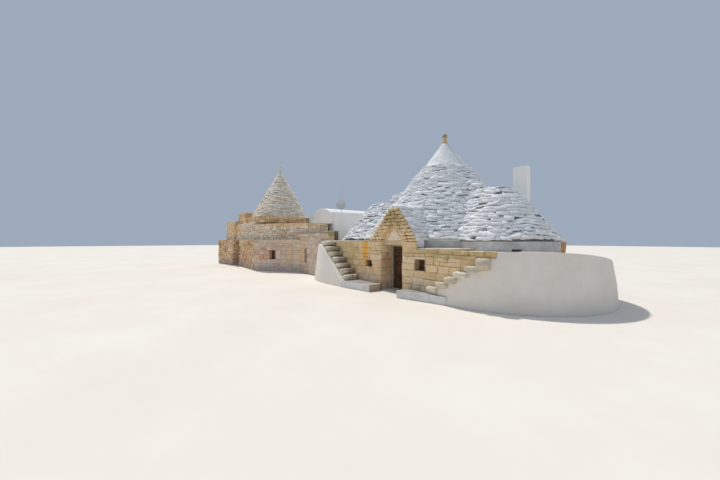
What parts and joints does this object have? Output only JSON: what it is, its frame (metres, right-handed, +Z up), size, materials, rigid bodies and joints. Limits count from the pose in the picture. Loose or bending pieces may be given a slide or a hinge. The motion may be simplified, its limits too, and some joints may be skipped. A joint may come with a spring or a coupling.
{
  "type": "trullo house with side lobes and rubble wing",
  "caption": "Trullo house: a limewashed stone cone with two side lobes over an ashlar front with a gabled doorway, and a rubble wing that carries a bare stone cone and a white vaulted block.",
  "frame": {"origin": "On the ground, at the axis of the main cone.", "axes": "+X runs along the front to the right, the front faces -Y, +Z is up."},
  "size_m": [27.26, 10.7699, 8.15],
  "materials": {
    "ashlar": "matt, weathered, lichen on the top courses",
    "pale_stone": "matt, dressed",
    "limewash": "matt, brushed, faintly stained",
    "bench_stone": "matt, worn and stained",
    "rubble": "rough, matt",
    "terrace": "matt, worn",
    "slates": "rough, matt",
    "bare_slates": "rough, matt",
    "finial_stone": "matt, weathered",
    "door_timber": "satin varnish, worn",
    "frame_paint": "satin, weathered",
    "glass": "glossy",
    "iron": "satin"
  },
  "bodies": {
    "house": {"front_wall_left": "ashlar", "front_wall_right": "ashlar", "door_gable": "ashlar", "door_lintel": "ashlar", "tympanum_stone": "pale_stone", "right_white_wall": "limewash", "left_white_wall": "limewash", "plinth_drum": "limewash", "block_front_wall": "limewash", "block_rear_wall": "limewash", "block_side_walls": "limewash", "block_vault": "limewash", "block_shoulder": "limewash", "rear_wall_right": "limewash", "rear_wall_left": "limewash", "chimney": "limewash", "benches": "bench_stone", "stepped_stones": "bench_stone", "right_ledge_front": "rubble", "right_ledge_side": "rubble", "left_ledge": "rubble", "west_front_wall": "rubble", "west_rear_walls": "rubble", "small_drum_front": "rubble", "small_drum_rear": "rubble", "link_walls": "rubble", "tier_two_front": "rubble", "tier_two_rear": "rubble", "tier_two_east": "rubble", "tier_three": "rubble", "parapets": "rubble", "wing_roofs": "terrace", "floors": "terrace", "main_cone": "slates", "right_lobe": "slates", "left_lobe": "slates", "gable_roof": "slates", "small_cone": "bare_slates", "main_finial": "finial_stone", "small_finial": "finial_stone", "door_frame": "frame_paint", "window_frames": "frame_paint", "window_glass": "glass", "floodlight": "iron", "aerial": "iron"},
    "front_door": {"front_door": "door_timber", "door_glass": "glass", "door_handle": "iron"}
  },
  "joints": [
    {"name": "front_door_hinge", "type": "hinge", "parent": "house", "child": "front_door", "pos_m": [0.073, -3.438, 0], "axis": [0, 0, 1], "range_deg": [0, 90]}
  ]
}
